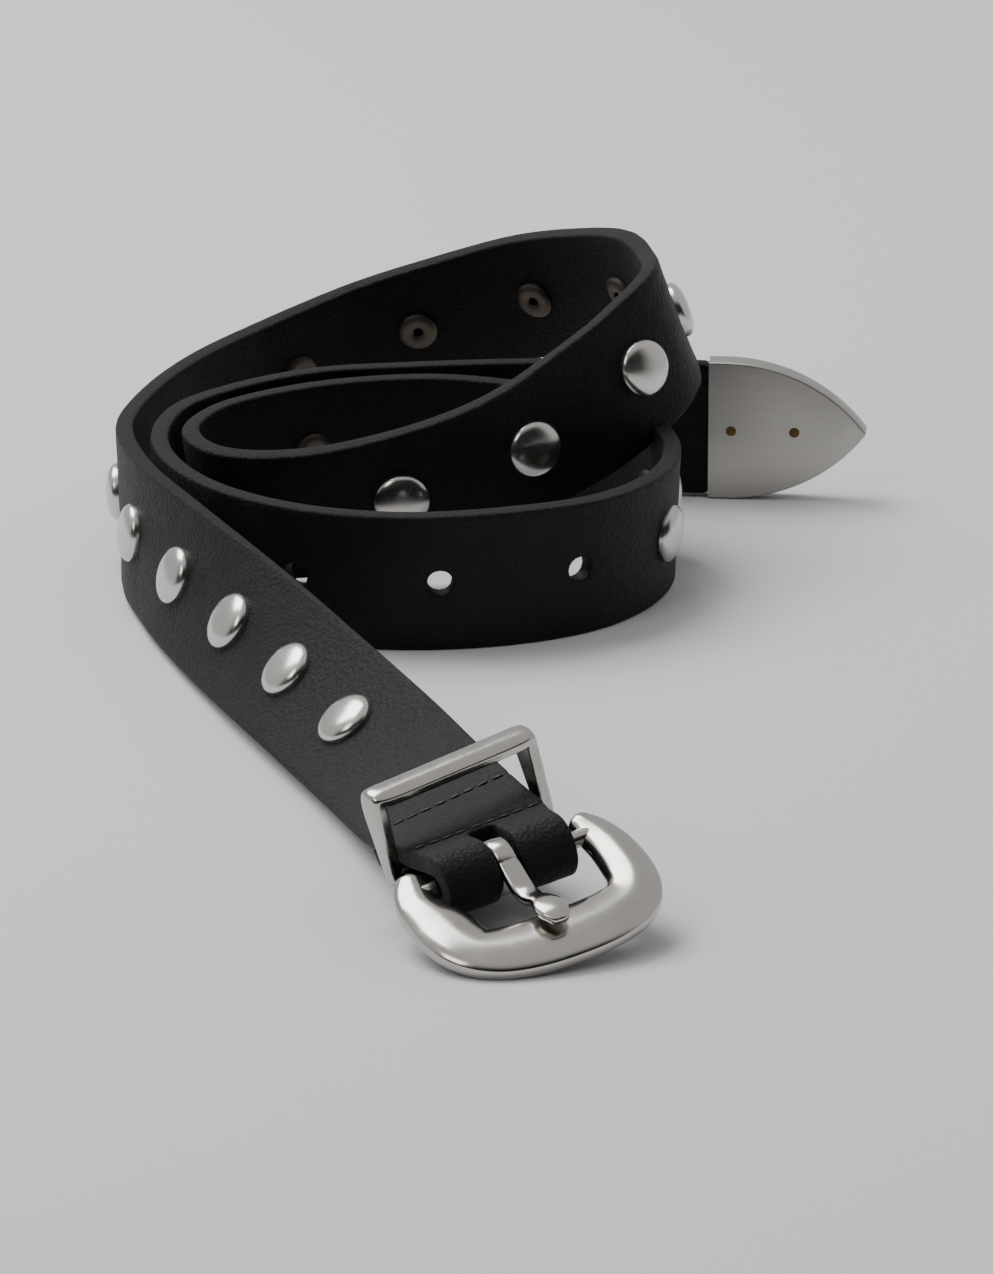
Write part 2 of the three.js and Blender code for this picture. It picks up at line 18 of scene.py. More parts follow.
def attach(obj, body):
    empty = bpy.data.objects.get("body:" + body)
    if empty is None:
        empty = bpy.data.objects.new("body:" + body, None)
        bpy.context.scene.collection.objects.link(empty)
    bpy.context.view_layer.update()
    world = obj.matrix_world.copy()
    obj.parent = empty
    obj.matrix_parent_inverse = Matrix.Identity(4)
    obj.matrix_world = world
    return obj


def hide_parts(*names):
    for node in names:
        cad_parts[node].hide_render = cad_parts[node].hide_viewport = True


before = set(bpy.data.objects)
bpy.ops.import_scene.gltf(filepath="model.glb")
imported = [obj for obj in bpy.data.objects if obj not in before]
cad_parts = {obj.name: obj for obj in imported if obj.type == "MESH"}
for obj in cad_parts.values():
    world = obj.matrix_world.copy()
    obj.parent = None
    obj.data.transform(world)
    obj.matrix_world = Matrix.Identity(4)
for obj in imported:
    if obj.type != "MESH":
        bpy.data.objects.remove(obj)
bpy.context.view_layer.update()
MM = 0.001

# %% [markdown]
# ## The camera
#
# The photograph looks down at the coil from a low angle and from far away, so that the strap keeps
# its width from front to back. A long lens a long way off gives that flat look. A short lens close
# by would make the buckle too large.

# %% Camera
BELT_SHIFT = Vector((1.315, -16.364, 0.065)) * MM
VIEW_ELEVATION = math.radians(18.81)
VIEW_DISTANCE = 1.8
VIEW_TARGET = BELT_SHIFT + Vector((0, 0, 15 * MM))
SENSOR = 36
LENS = 6.863 * SENSOR

lens = bpy.data.cameras.new("long_lens")
lens.sensor_width = SENSOR
lens.lens = LENS
camera = bpy.data.objects.new("camera", lens)
away = Vector((0, -math.cos(VIEW_ELEVATION), math.sin(VIEW_ELEVATION)))
camera.location = VIEW_TARGET + away * VIEW_DISTANCE
camera.rotation_mode = "QUATERNION"
camera.rotation_quaternion = (-away).to_track_quat("-Z", "Y")
bpy.context.scene.collection.objects.link(camera)
bpy.context.scene.camera = camera
print("camera at", [round(c, 3) for c in camera.location])

# %% [markdown]
# ## Sizes
#
# The sizes are those of the solids, in millimetres, so that every piece sits on the one that
# carries it. They are written once, and the pieces take them from here.

# %% Sizes
STRAP_WIDTH = 30 * MM
STRAP_THICKNESS = 3.9 * MM
COIL_SPAN_X = 117 * MM
COIL_SPAN_Y = 149 * MM
STUD_COUNT = 23
STUD_PITCH = 30.5 * MM
STUD_DIAMETER = 12.4 * MM
STUD_HEIGHT = 2.8 * MM
STUD_RIM = 0.5 * MM
FIRST_STUD = 88 * MM
POST_DIAMETER = 3.4 * MM
BACK_DIAMETER = 8.8 * MM
BACK_HEIGHT = 1.1 * MM
BACK_BORE = 2.2 * MM
BACK_BORE_DEPTH = 2.2 * MM
PRONG_HOLES = 5
PRONG_HOLE_DIAMETER = 5.4 * MM
BAR_DIAMETER = 3.5 * MM
LOOP_GAP = 0.55 * MM
PIECE_GAP = 0.32 * MM
FRAME_HALF_WIDTH = 25.2 * MM
FRAME_SHIFT = 1.2 * MM
FRAME_REACH = 30.6 * MM
FRAME_HEEL = 6.5 * MM
FRAME_THICKNESS = 4.6 * MM
FRAME_DROP = math.radians(26.08)
FRAME_YAW = math.radians(7)
YAW_LENGTH = 24 * MM
FOLD_LENGTH = 37 * MM
SLOT_WIDTH = 5.8 * MM
SLOT_REACH = 8 * MM
SLOT_CORNER = 1.4 * MM
KEEPER_SEAT = 17 * MM
KEEPER_LEAN = math.radians(5)
KEEPER_YAW = math.radians(11)
KEEPER_INNER_WIDTH = 32.6 * MM
KEEPER_SHIFT = 0.1 * MM
KEEPER_INNER_HEIGHT = 14.2 * MM
KEEPER_TOP_SLOPE = math.radians(20)
KEEPER_BAR = 2.2 * MM
KEEPER_ROLL = math.radians(1.6)
KEEPER_TOP_WIDTH = 6.8 * MM
KEEPER_TOP_THICKNESS = 3.2 * MM
KEEPER_LEG = 3 * MM
KEEPER_LEG_DEPTH = 2.6 * MM
PRONG_WIDTH = 4.6 * MM
PRONG_THICKNESS = 2.7 * MM
TIP_LENGTH = 35 * MM
TIP_WIDTH = 31.4 * MM
TIP_THICKNESS = 5.6 * MM
TIP_STRAIGHT = 4 * MM
TIP_WALL = 1.2 * MM
TIP_SLOT_DEPTH = 23 * MM
TIP_PIN_DIAMETER = 2.2 * MM
TIP_PINS = (5 * MM, 19 * MM)

BAR_RADIUS = BAR_DIAMETER / 2
FOLD_RADIUS = BAR_RADIUS + LOOP_GAP + STRAP_THICKNESS / 2
FOLD_ARC = math.pi * FOLD_RADIUS
UP = Vector((0, 0, 1))

# %% [markdown]
# ## The line that the strap follows
#
# The coil is the belt's main shape. The strap could be bent by a curve modifier, but that gives no
# say in how far it leans over at each place. Here a smooth line is laid through a table of places,
# and each place has its own lean. Two of the columns are shares of the coil's spans, the third is
# how high the lower edge lies, and the last is how far the upper edge tips inwards.

# %% Route of the strap
ROUTE_COLUMNS = ("across", "along", "foot_mm", "lean")
ROUTE = [dict(zip(ROUTE_COLUMNS, row)) for row in (
    (0.678, -1.105, 12, 80), (0.616, -0.971, 8.43, 75), (0.555, -0.818, 3.45, 64),
    (0.483, -0.651, 1.35, 57), (0.289, -0.294, 0.51, 39.5), (0.098, 0.056, 0.6, 16),
    (0.025, 0.234, 0.6, 5), (0, 0.415, 0.3, -3), (0.035, 0.598, 0, -1),
    (0.11, 0.77, 0, 3), (0.226, 0.916, 0.9, 7), (0.389, 0.996, 5.7, 11),
    (0.573, 1.001, 12.6, 14), (0.743, 0.958, 20.1, 18), (0.877, 0.863, 26.1, 21),
    (0.968, 0.739, 30.9, 23), (1.001, 0.606, 31.8, 21), (0.993, 0.484, 32.1, 17),
    (0.915, 0.409, 25.5, 12), (0.779, 0.347, 16.2, 5), (0.638, 0.293, 9.9, -2),
    (0.483, 0.27, 5.1, -8), (0.328, 0.274, 1.8, -12), (0.191, 0.314, 0.3, -12),
    (0.133, 0.394, 0.3, -8), (0.171, 0.487, 0.9, -4), (0.274, 0.565, 1.2, 0),
    (0.412, 0.624, 0.9, 1), (0.568, 0.648, 0.6, 1), (0.728, 0.625, 0, 1),
    (0.868, 0.558, 0, 0), (0.965, 0.454, 0, 0), (0.997, 0.327, 0, -2),
    (0.962, 0.197, 0, -5), (0.861, 0.089, 0, -5), (0.704, 0.023, 0.3, -4),
    (0.524, 0.003, 0, -3.5), (0.345, 0.033, 0, -2.5), (0.197, 0.115, 0, -1.5),
    (0.102, 0.232, 0, -1), (0.061, 0.37, 0, -0.5), (0.091, 0.505, 0.3, 0),
    (0.188, 0.611, 0, 0), (0.338, 0.685, 0.3, 0), (0.51, 0.72, 0, 0),
    (0.692, 0.73, 0.3, 0), (0.878, 0.727, 0.7, 0), (1.064, 0.715, 0.7, 0),
    (1.38, 0.694, 0.7, 0),
)]


def route_point(row):
    """Middle of the strap at a row of the table."""
    lean = math.radians(row["lean"])
    half = STRAP_WIDTH / 2 * math.cos(lean) + STRAP_THICKNESS / 2 * abs(math.sin(lean))
    x = (row["across"] - 0.68) * COIL_SPAN_X
    y = (row["along"] + 0.24) * COIL_SPAN_Y
    return Vector((x, y, row["foot_mm"] * MM + half))


print("rows in the route:", len(ROUTE))

# %% [markdown]
# ## A smooth line through points
#
# Blender's own curves pass near their control points or need handles. A Catmull-Rom line passes
# through every point and needs none. The centripetal kind doesn't overshoot where points lie close
# together, which keeps the tight turn by the crossing calm.

# %% Smooth line


class SmoothLine:
    """A centripetal Catmull-Rom line through points, open at both ends."""

    def __init__(self, points, divisions=4000):
        self.points = [Vector(p) for p in points]
        self.lengths = [0.0]
        last = self.at(0)
        for i in range(1, divisions + 1):
            place = self.at(i / divisions)
            self.lengths.append(self.lengths[-1] + (place - last).length)
            last = place
        self.length = self.lengths[-1]

    def at(self, t):
        """Place at a share t of the rows."""
        spans = len(self.points) - 1
        where = min(max(t, 0), 1) * spans
        i = min(int(where), spans - 1)
        share = where - i
        p1, p2 = self.points[i], self.points[i + 1]
        p0 = self.points[i - 1] if i else p1 * 2 - p2
        p3 = self.points[i + 2] if i + 2 <= spans else p2 * 2 - p1
        gap0 = (p1 - p0).length ** 0.5
        gap1 = (p2 - p1).length ** 0.5
        gap2 = (p3 - p2).length ** 0.5
        start = ((p1 - p0) / gap0 - (p2 - p0) / (gap0 + gap1) + (p2 - p1) / gap1) * gap1
        end = ((p2 - p1) / gap1 - (p3 - p1) / (gap1 + gap2) + (p3 - p2) / gap2) * gap1
        cubic = p1 * 2 - p2 * 2 + start + end
        square = p2 * 3 - p1 * 3 - start * 2 - end
        return p1 + start * share + square * share**2 + cubic * share**3

    def share_at(self, distance):
        """Share of the rows at a distance along the line."""
        distance = min(max(distance, 0), self.length)
        low, high = 0, len(self.lengths) - 1
        while high - low > 1:
            middle = (low + high) // 2
            if self.lengths[middle] <= distance:
                low = middle
            else:
                high = middle
        span = self.lengths[high] - self.lengths[low]
        return (low + (distance - self.lengths[low]) / span) / (len(self.lengths) - 1)

    def heading(self, t, step=0.0001):
        """Direction of travel at a share t."""
        return (self.at(min(t + step, 1)) - self.at(max(t - step, 0))).normalized()


def even_blend(values, t):
    """Catmull-Rom through evenly spaced numbers, with its end values repeated."""
    spans = len(values) - 1
    where = min(max(t, 0), 1) * spans
    i = min(int(where), spans - 1)
    share = where - i
    v0, v1 = values[max(i - 1, 0)], values[i]
    v2, v3 = values[i + 1], values[min(i + 2, spans)]
    start, end = (v2 - v0) / 2, (v3 - v1) / 2
    cubic = 2 * v1 - 2 * v2 + start + end
    square = -3 * v1 + 3 * v2 - 2 * start - end
    return v1 + start * share + square * share**2 + cubic * share**3


def smooth_step(value, low, high):
    """0 below low, 1 above high and a soft rise between."""
    share = min(max((value - low) / (high - low), 0), 1)
    return share * share * (3 - 2 * share)


def mix(a, b, share):
    """Value part of the way from a to b."""
    return a + (b - a) * share


middle_line = SmoothLine([route_point(row) for row in ROUTE])
LEANS = [row["lean"] for row in ROUTE]
TIP_START = middle_line.length - TIP_LENGTH
STRAP_END = TIP_START + TIP_SLOT_DEPTH
print("strap and tip, mm:", round(middle_line.length / MM, 1))

# %% [markdown]
# ## Directions along the strap
#
# A piece that sits on the strap needs to know three directions there: along the strap, out of its
# grain side and across it. The bar isn't quite square to the strap, so close to it these turn a
# little. Inside the tip the strap is straight.

# %% Directions at a distance from the bar


@functools.lru_cache(maxsize=None)
def strap_frame(distance):
    """Place, along, out and across at a distance from the bar. The vectors are cached and shared between
    calls.
    """
    if distance > TIP_START:
        place, along, out, across = strap_frame(TIP_START)
        return place + along * (distance - TIP_START), along, out, across
    t = middle_line.share_at(distance)
    along = middle_line.heading(t)
    lean = math.radians(even_blend(LEANS, t))
    level = UP.cross(along).normalized()
    rise = along.cross(level)
    out = level * math.cos(lean) + rise * math.sin(lean)
    across = rise * math.cos(lean) - level * math.sin(lean)
    turn = Matrix.Rotation(FRAME_YAW * (1 - smooth_step(distance, 0, YAW_LENGTH)), 3, out)
    return BELT_SHIFT + middle_line.at(t), turn @ along, out, turn @ across


def placed(x_axis, y_axis, z_axis, origin):
    """Matrix that takes a piece from its own axes to its place."""
    made = Matrix((x_axis, y_axis, z_axis)).transposed().to_4x4()
    made.translation = origin
    return made


def on_strap(distance):
    """Matrix with x along the strap, y across it downwards and z out of its grain side."""
    place, along, out, across = strap_frame(distance)
    return placed(along, -across, out, place)


def fold_space(distance):
    """Space between the strap and its folded end."""
    at_bar = 2 * (BAR_RADIUS + LOOP_GAP)
    past_keeper = KEEPER_SEAT + 1.5 * KEEPER_LEG_DEPTH
    return mix(at_bar, PIECE_GAP, smooth_step(distance, past_keeper, FOLD_LENGTH))


def tip_half_width(distance):
    """Half the tip's width at a distance from its open end: two arcs that meet in a point."""
    bow = TIP_LENGTH - TIP_STRAIGHT
    half = TIP_WIDTH / 2
    radius = (bow * bow + half * half) / (2 * half)
    past = max(distance - TIP_STRAIGHT, 0)
    return math.sqrt(max(radius * radius - past * past, 0)) - radius + half


print("bar at", [round(c, 4) for c in strap_frame(0)[0]])

# %% [markdown]
# ## Materials
#
# All the finishes are made from noise and cell patterns, so they have no seams and keep their scale
# wherever the strap turns. The leather is almost black. What shows on it is the sheen of its fine
# grain, its burnished cut edges, which are lighter and rougher, and the plain inner side.

# %% Material helpers


def new_material(name):
    """A material with its nodes, its links and its surface shader."""
    material = bpy.data.materials.new(name)
    material.use_nodes = True
    nodes = material.node_tree.nodes
    shader = nodes["Principled BSDF"]
    return material, nodes, material.node_tree.links, shader


def object_coordinates(nodes):
    """The piece's own coordinates, in metres."""
    return nodes.new("ShaderNodeTexCoord").outputs["Object"]


def noise_texture(nodes, links, where, scale, detail=4, roughness=0.55):
    """Cloudy noise, so many waves to the metre."""
    made = nodes.new("ShaderNodeTexNoise")
    made.inputs["Scale"].default_value = scale
    made.inputs["Detail"].default_value = detail
    made.inputs["Roughness"].default_value = roughness
    links.new(where, made.inputs["Vector"])
    return made.outputs["Fac"]


def cell_texture(nodes, links, where, scale):
    """Distance from the middles of small cells, for pebbled grain."""
    made = nodes.new("ShaderNodeTexVoronoi")
    made.feature = "SMOOTH_F1"
    made.inputs["Scale"].default_value = scale
    made.inputs["Smoothness"].default_value = 0.4
    links.new(where, made.inputs["Vector"])
    return made.outputs["Distance"]


def ranged(nodes, links, value, low, high, to_low, to_high):
    """The value taken from one range to another, and kept inside it."""
    made = nodes.new("ShaderNodeMapRange")
    made.inputs["From Min"].default_value = low
    made.inputs["From Max"].default_value = high
    made.inputs["To Min"].default_value = to_low
    made.inputs["To Max"].default_value = to_high
    links.new(value, made.inputs["Value"])
    return made.outputs["Result"]


def combined(nodes, links, operation, first, second):
    """Two values joined by arithmetic. Either may be a plain number."""
    made = nodes.new("ShaderNodeMath")
    made.operation = operation
    for socket, value in zip(made.inputs, (first, second)):
        if isinstance(value, (int, float)):
            socket.default_value = value
        else:
            links.new(value, socket)
    return made.outputs["Value"]


def colour_mix(nodes, links, share, first, second):
    """Two colours mixed by a share. Either may be another node's colour."""
    made = nodes.new("ShaderNodeMix")
    made.data_type = "RGBA"
    links.new(share, made.inputs["Factor"])
    for socket, value in ((made.inputs["A"], first), (made.inputs["B"], second)):
        if isinstance(value, tuple):
            socket.default_value = (*value, 1)
        else:
            links.new(value, socket)
    return made.outputs["Result"]


def bumped(nodes, links, shader, height, depth):
    """Relief of that depth in metres on the surface."""
    made = nodes.new("ShaderNodeBump")
    made.inputs["Strength"].default_value = 1
    made.inputs["Distance"].default_value = depth
    links.new(height, made.inputs["Height"])
    links.new(made.outputs["Normal"], shader.inputs["Normal"])


# %% Leather
GRAIN_BLACK = (0.0042, 0.0042, 0.005)
GRAIN_GREY = (0.0095, 0.0095, 0.011)
FLESH_BLACK = (0.0035, 0.0035, 0.0035)
EDGE_GREY = (0.02, 0.02, 0.021)
GRAIN_PER_METRE = 1100
PORES_PER_METRE = 2600
CLOUDS_PER_METRE = 70
GRAIN_DEPTH = 0.24 * MM
GRAIN_GLOSS = (0.5, 0.68)
EDGE_DULLER = 0.2


def leather_material():
    material, nodes, links, shader = new_material("black_leather")
    where = object_coordinates(nodes)
    cells = cell_texture(nodes, links, where, GRAIN_PER_METRE)
    fine = noise_texture(nodes, links, where, PORES_PER_METRE, 3)
    clouds = noise_texture(nodes, links, where, CLOUDS_PER_METRE, 5)
    rim = nodes.new("ShaderNodeAttribute")
    rim.attribute_name = "rim"
    grain_side = nodes.new("ShaderNodeAttribute")
    grain_side.attribute_name = "grain_side"
    pits = combined(nodes, links, "MULTIPLY", cells, ranged(nodes, links, clouds, 0.3, 0.7, 0.5, 1))
    grain = combined(nodes, links, "ADD", pits, combined(nodes, links, "MULTIPLY", fine, 0.5))
    tone = colour_mix(nodes, links, ranged(nodes, links, clouds, 0.35, 0.7, 0, 1), GRAIN_BLACK, GRAIN_GREY)
    tone = colour_mix(nodes, links, grain_side.outputs["Fac"], FLESH_BLACK, tone)
    patchy = ranged(nodes, links, clouds, 0.25, 0.6, 0.7, 1)
    worn = combined(nodes, links, "MULTIPLY", rim.outputs["Fac"], patchy)
    tone = colour_mix(nodes, links, worn, tone, EDGE_GREY)
    links.new(tone, shader.inputs["Base Color"])
    gloss = ranged(nodes, links, grain, 0.2, 0.9, *GRAIN_GLOSS)
    dull = combined(nodes, links, "MULTIPLY", rim.outputs["Fac"], EDGE_DULLER)
    links.new(combined(nodes, links, "ADD", gloss, dull), shader.inputs["Roughness"])
    shader.inputs["Specular IOR Level"].default_value = 0.2
    shader.inputs["Sheen Weight"].default_value = 0.03
    shader.inputs["Sheen Roughness"].default_value = 0.45
    bumped(nodes, links, shader, grain, GRAIN_DEPTH)
    return material


leather = leather_material()
print("made", leather.name)

# %% [markdown]
# The metal is nickel with a satin finish. Its colour is warm and light, and its gloss is broken by
# marks too fine to see one by one. Studs are a little brighter and their clinched backs are dull and
# brownish. The tip is brushed along its length. Its pins are dark brown, partly a brown stain and
# partly painted shade standing in for the dark middle of a shallow dent.

# %% Metals
TARNISH_PER_METRE = 90
TARNISH = 0.88
BRUSHED = (0.15, 0.15, 1)


def metal_material(name, colour, roughness, marks_per_metre, depth, stretch=(1, 1, 1)):
    """Satin metal: fine marks change its roughness, between two values, and its relief."""
    material, nodes, links, shader = new_material(name)
    mapping = nodes.new("ShaderNodeMapping")
    mapping.inputs["Scale"].default_value = stretch
    links.new(object_coordinates(nodes), mapping.inputs["Vector"])
    where = mapping.outputs["Vector"]
    marks = noise_texture(nodes, links, where, marks_per_metre, 5, 0.6)
    clouds = noise_texture(nodes, links, where, TARNISH_PER_METRE, 3)
    darker = tuple(c * TARNISH for c in colour)
    tone = colour_mix(nodes, links, ranged(nodes, links, clouds, 0.3, 0.7, 0, 1), darker, colour)
    links.new(tone, shader.inputs["Base Color"])
    both = combined(nodes, links, "ADD", combined(nodes, links, "MULTIPLY", clouds, 0.5),
                    combined(nodes, links, "MULTIPLY", marks, 0.5))
    links.new(ranged(nodes, links, both, 0.35, 0.65, *roughness), shader.inputs["Roughness"])
    shader.inputs["Metallic"].default_value = 1
    bumped(nodes, links, shader, marks, depth)
    return material


buckle_nickel = metal_material("satin_nickel", (0.55, 0.525, 0.485), (0.15, 0.22), 900, 0.001 * MM)
stud_nickel = metal_material("stud_nickel", (0.66, 0.635, 0.59), (0.2, 0.28), 1200, 0.001 * MM)
tip_nickel = metal_material("brushed_nickel", (0.5, 0.48, 0.445), (0.34, 0.46), 1200, 0.004 * MM, BRUSHED)
# The pins' dark brown is partly a brown stain and partly painted shade in place of a dent's dark middle.
stain_and_dent_shade_metal = metal_material("stain_and_dent_shade_pin", (0.16, 0.11, 0.05), (0.5, 0.7), 1500, 0.01 * MM)
back_metal = metal_material("dull_rivet_back", (0.13, 0.11, 0.09), (0.4, 0.55), 1500, 0.004 * MM)
print("made five metals")

# %% [markdown]
# ## Helpers for pieces
#
# Every piece ends the same way. Its faces are turned outwards, its place goes into its mesh, it gets
# its finish, it rides on a body and it stands for the plain solid of the same name.

# %% Finish a piece


def finished(name, bm, place, material, body, nodes=(), sharp=35, levels=0):
    """A shown piece from a bmesh, with all that the belt needs to know about it."""
    bmesh.ops.transform(bm, matrix=place, verts=bm.verts[:])
    bmesh.ops.recalc_face_normals(bm, faces=bm.faces[:])
    mesh = bpy.data.meshes.new(name)
    bm.to_mesh(mesh)
    bm.free()
    mesh.shade_smooth()
    if not levels:
        mesh.set_sharp_from_angle(angle=math.radians(sharp))
    mesh.materials.append(material)
    piece = bpy.data.objects.new(name, mesh)
    bpy.context.scene.collection.objects.link(piece)
    if levels:
        rounding = piece.modifiers.new("rounding", "SUBSURF")
        rounding.levels = levels
        rounding.render_levels = levels
    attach(piece, body)
    if nodes:
        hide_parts(*nodes)
    return piece


def sweep(bm, rings, closed=False):
    """Carries a section along: a ring of vertices is extruded again and again, and each new ring
    is set to its own row of points. The ends are filled, or joined to each other if closed."""
    ring = bmesh.ops.create_circle(bm, segments=len(rings[0]), radius=1)["verts"]
    for vert, point in zip(ring, rings[0]):
        vert.co = point
    first = ring
    for points in rings[1:]:
        edges = ring_edges(ring)
        made = bmesh.ops.extrude_edge_only(bm, edges=edges)["geom"]
        new = {v for v in made if isinstance(v, bmesh.types.BMVert)}
        ring = [next(e.other_vert(v) for e in v.link_edges if e.other_vert(v) in new) for v in ring]
        for vert, point in zip(ring, points):
            vert.co = point
    if closed:
        bmesh.ops.bridge_loops(bm, edges=ring_edges(ring) + ring_edges(first))
    else:
        bmesh.ops.edgeloop_fill(bm, edges=ring_edges(first))
        bmesh.ops.edgeloop_fill(bm, edges=ring_edges(ring))


def ring_edges(ring):
    """Edges between the neighbours of a closed ring."""
    found = []
    for i, vert in enumerate(ring):
        beside = ring[(i + 1) % len(ring)]
        found.append(next(e for e in vert.link_edges if e.other_vert(vert) == beside))
    return found


def spun(bm, profile, steps):
    """A profile of radius and height turned about the z axis, from one point on it to another."""
    verts = [bmesh.ops.create_vert(bm, co=(r, 0, z))["vert"][0] for r, z in profile]
    edges = [bm.edges.new(pair) for pair in zip(verts, verts[1:])]
    bmesh.ops.spin(bm, geom=verts + edges, cent=(0, 0, 0), axis=(0, 0, 1), angle=2 * math.pi,
                   steps=steps, use_merge=True)
    bmesh.ops.remove_doubles(bm, verts=bm.verts[:], dist=1e-7)


# %% [markdown]
# ## The strap, flat
#
# A belt maker cuts a straight strip, punches it and only then bends it. The strap is made in the
# same order. A flat grid is the strip. Faces are taken out where the prong's slot and the five holes
# are, and the vertices round each opening move out to its outline. Solidify then gives the leather
# its thickness, and with it the walls of the holes. A bevel rounds the cut edges.

# %% Flat strip
CELLS_PER_PITCH = 19
CELL = STUD_PITCH / CELLS_PER_PITCH
CELLS_ACROSS = 18
STRIP_START = -(FOLD_ARC + FOLD_LENGTH)
STITCH_ROWS = (9.6 * MM, 30.6 * MM)
EDGE_ROUND = 0.6 * MM


def flat_strip():
    """A grid whose lines pass through the middles of the holes, in x along and y across."""
    first = math.ceil((STRIP_START - FIRST_STUD) / CELL)
    last = math.floor((STRAP_END - FIRST_STUD) / CELL)
    bm = bmesh.new()
    bmesh.ops.create_grid(bm, x_segments=last - first, y_segments=CELLS_ACROSS, size=0.5)
    start, end = FIRST_STUD + first * CELL, FIRST_STUD + last * CELL
    for vert in bm.verts:
        vert.co.x = mix(start, end, vert.co.x + 0.5)
        vert.co.y = vert.co.y * STRAP_WIDTH
        if vert.co.x < start + CELL / 2:
            vert.co.x = STRIP_START
        if vert.co.x > end - CELL / 2:
            vert.co.x = STRAP_END
    return bm


def finer_rows(bm, low, high, cuts):
    """More rows between two distances, for the fold and the stitches."""
    edges = []
    for edge in bm.edges:
        a, b = (v.co for v in edge.verts)
        if abs(a.y - b.y) < 1e-7 and low < (a.x + b.x) / 2 < high:
            edges.append(edge)
    bmesh.ops.subdivide_edges(bm, edges=edges, cuts=cuts, use_grid_fill=True)


def punch(bm, low, high, half_width, corner):
    """An opening from low to high along the strip's middle, with round corners."""
    half = math.ceil(half_width / CELL - 0.2) * STRAP_WIDTH / CELLS_ACROSS
    inside = [f for f in bm.faces
              if low - 0.3 * CELL < f.calc_center_median().x < high + 0.3 * CELL
              and abs(f.calc_center_median().y) < half]
    rim = {v for f in inside for v in f.verts if any(g not in inside for g in v.link_faces)}
    bmesh.ops.delete(bm, geom=inside, context="FACES")
    side = half_width - corner
    for vert in rim:
        along = min(max(vert.co.x, low + corner), high - corner)
        across = min(max(vert.co.y, -side), side)
        core = Vector((along, across, 0))
        away = vert.co - core
        vert.co = core + away.normalized() * corner


strip = flat_strip()
finer_rows(strip, -FOLD_ARC - 2 * CELL, 2 * CELL, 1)
for row in STITCH_ROWS:
    finer_rows(strip, row - CELL, row + CELL, 2)
punch(strip, -FOLD_ARC - SLOT_REACH, SLOT_REACH, SLOT_WIDTH / 2, SLOT_CORNER)
hole_round = PRONG_HOLE_DIAMETER / 2
for hole in range(PRONG_HOLES):
    distance = FIRST_STUD + (STUD_COUNT + hole) * STUD_PITCH
    punch(strip, distance - hole_round, distance + hole_round, hole_round, hole_round)
bmesh.ops.solidify(strip, geom=strip.faces[:], thickness=STRAP_THICKNESS)
heights = [v.co.z for v in strip.verts]
level = (min(heights) + max(heights)) / 2
bmesh.ops.translate(strip, verts=strip.verts[:], vec=(0, 0, -level))
bmesh.ops.recalc_face_normals(strip, faces=strip.faces[:])
corners = [e for e in strip.edges if len(e.link_faces) == 2 and e.calc_face_angle() > math.radians(60)]
bmesh.ops.bevel(strip, geom=corners, offset=EDGE_ROUND, segments=3, profile=0.5, affect="EDGES",
                material=-1, clamp_overlap=True)
print("flat strip faces:", len(strip.faces))

# %% [markdown]
# ## The strap, bent
#
# Each vertex of the flat strip knows how far along it is, how far across and how deep, and that is
# all it needs to find its place on the coil. Before it moves, two attributes note how close it is to
# the cut edge and whether it is on the grain side, because the leather's finish asks for them. The
# stitches press a shallow groove into the grain, and over the bar the leather bulges a little.

# %% Bend the strip
GROOVE_DEPTH = 0.5 * MM
GROOVE_SPREAD = 0.7 * MM
BAR_BULGE = 0.45 * MM
RIDGE = 0.3 * MM
RIDGE_PLACE = 11.6 * MM
FOLD_TRIM = 0.06
WOBBLE = 0.12 * MM
WOBBLES_PER_METRE = Vector((260, 260, 90))


def strap_half_width(distance):
    """Half the strap's width, trimmed inside the tip."""
    inside = distance - TIP_START
    if inside < -2 * PIECE_GAP:
        return STRAP_WIDTH / 2
    return min(STRAP_WIDTH / 2, tip_half_width(inside) - TIP_WALL - PIECE_GAP)


def leather_point(s, side, face):
    """Where a point of the flat strip lies. The strip runs from its folded end, round the bar
    at zero and on to the tip."""
    if s >= 0:
        place, along, out, across = strap_frame(s)
        side = side * strap_half_width(s) / (STRAP_WIDTH / 2)
        return place + across * side + out * face
    if s > -FOLD_ARC:
        place, along, out, across = strap_frame(0)
        angle = math.pi / 2 + s / FOLD_RADIUS
        round_bar = out * math.sin(angle) - along * math.cos(angle)
        centre = place - out * FOLD_RADIUS
        return centre + across * side + round_bar * (FOLD_RADIUS + face)
    distance = -s - FOLD_ARC
    place, along, out, across = strap_frame(distance)
    under = place - out * (STRAP_THICKNESS + fold_space(distance))
    return under + across * side - out * face


def swell(value, middle, spread):
    """A soft bump, 1 at its middle."""
    return math.exp(-(((value - middle) / spread) ** 2))


def relief(s, face):
    """The grain side's bulge over the bar and its ridge by the stitches, less their grooves."""
    if face <= 0:
        return 0
    sunk = sum(swell(s, row, GROOVE_SPREAD) for row in STITCH_ROWS) * GROOVE_DEPTH
    return BAR_BULGE * swell(s, 0, 3.5 * MM) + RIDGE * swell(s, RIDGE_PLACE, 1.1 * MM) - sunk


def fold_trim(s):
    """The strap is trimmed a little narrower where it goes round the bar."""
    near = 1 - smooth_step(abs(s + FOLD_ARC / 2), FOLD_ARC / 2 + 2 * MM, FOLD_ARC / 2 + 12 * MM)
    return 1 - FOLD_TRIM * near


